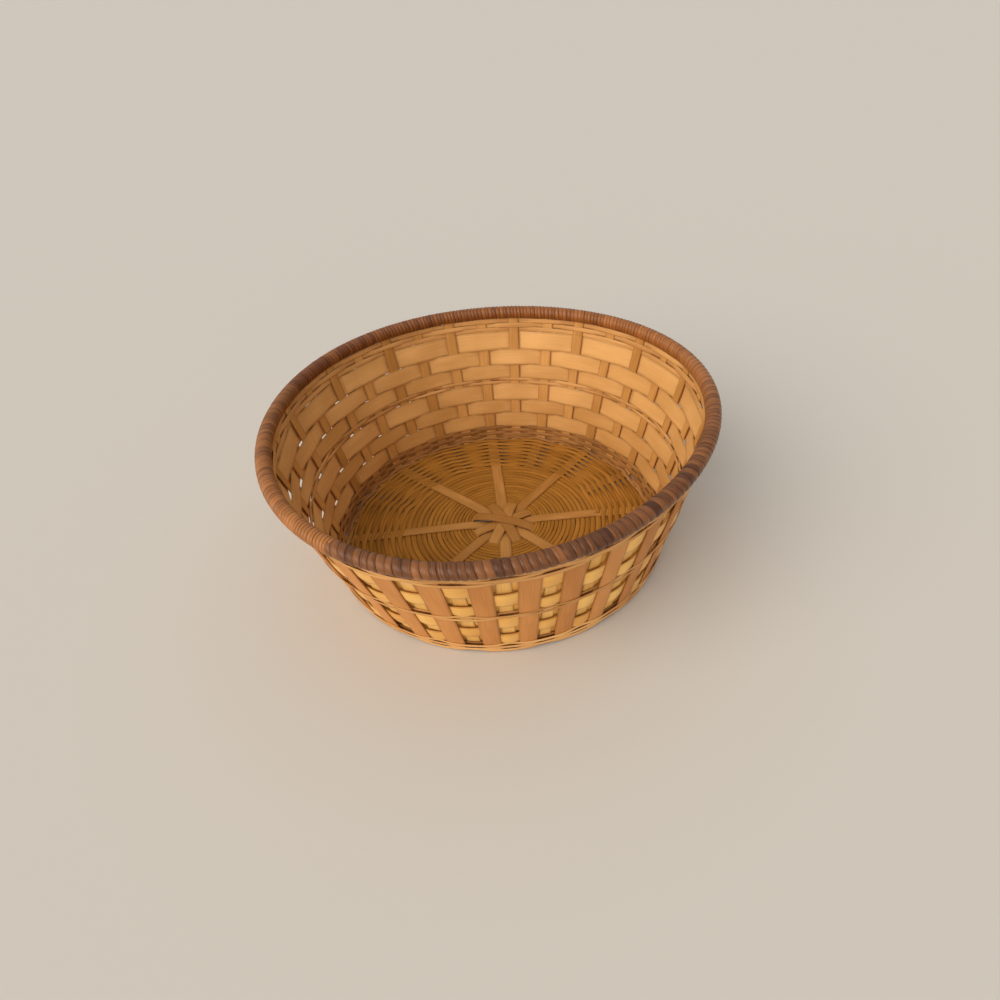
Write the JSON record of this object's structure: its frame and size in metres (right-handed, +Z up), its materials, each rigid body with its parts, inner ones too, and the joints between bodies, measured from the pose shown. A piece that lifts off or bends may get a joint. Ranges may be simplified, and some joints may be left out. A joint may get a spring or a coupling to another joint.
{
  "type": "woven basket",
  "caption": "Round open berry basket woven from split bamboo, with flared walls and a rim bound in dark cane.",
  "frame": {"origin": "on the ground below the centre of the base", "axes": "+Z up through the open top; +X to the right of the picture and +Y away from its camera"},
  "size_m": [0.2456, 0.2516, 0.0925],
  "materials": {
    "base_strip": "split bamboo, satin",
    "side_stake": "split bamboo, satin",
    "weft": "split bamboo with its glossy skin",
    "outer_strip": "split bamboo, matte",
    "thin_strand": "thin split bamboo, satin",
    "base_strand": "thin split bamboo, dry",
    "hoop": "bent wood, raw",
    "binding_front": "dark stained cane, satin",
    "binding_back": "red-brown cane, satin",
    "binding_left": "orange-brown cane, satin"
  },
  "bodies": {
    "root": {"base_strip_1": "base_strip", "base_strip_2": "base_strip", "base_strip_3": "base_strip", "base_strip_4": "base_strip", "base_strip_5": "base_strip", "base_strip_6": "base_strip", "base_strip_7": "base_strip", "base_strip_8": "base_strip", "base_twined_strand_1": "base_strand", "base_twined_strand_2": "base_strand", "base_weave_strand": "base_strand", "bottom_strand_1": "thin_strand", "bottom_strand_2": "thin_strand", "bottom_strand_3": "thin_strand", "foot_strand_1": "thin_strand", "foot_strand_2": "thin_strand", "inner_hoop": "hoop", "middle_strand_1": "thin_strand", "middle_strand_2": "thin_strand", "outer_hoop_with_strips": "outer_strip", "rim_binding_back": "binding_back", "rim_binding_front": "binding_front", "rim_binding_left": "binding_left", "side_stake_01": "side_stake", "side_stake_02": "side_stake", "side_stake_03": "side_stake", "side_stake_04": "side_stake", "side_stake_05": "side_stake", "side_stake_06": "side_stake", "side_stake_07": "side_stake", "side_stake_08": "side_stake", "side_stake_09": "side_stake", "side_stake_10": "side_stake", "side_stake_11": "side_stake", "side_stake_12": "side_stake", "side_stake_13": "side_stake", "side_stake_14": "side_stake", "side_stake_15": "side_stake", "side_stake_16": "side_stake", "top_strand_1": "thin_strand", "top_strand_2": "thin_strand", "top_strand_3": "thin_strand", "weft_row_1": "weft", "weft_row_2": "weft", "weft_row_3": "weft", "weft_row_4": "weft", "weft_row_5": "weft", "weft_row_6": "weft"}
  },
  "joints": []
}
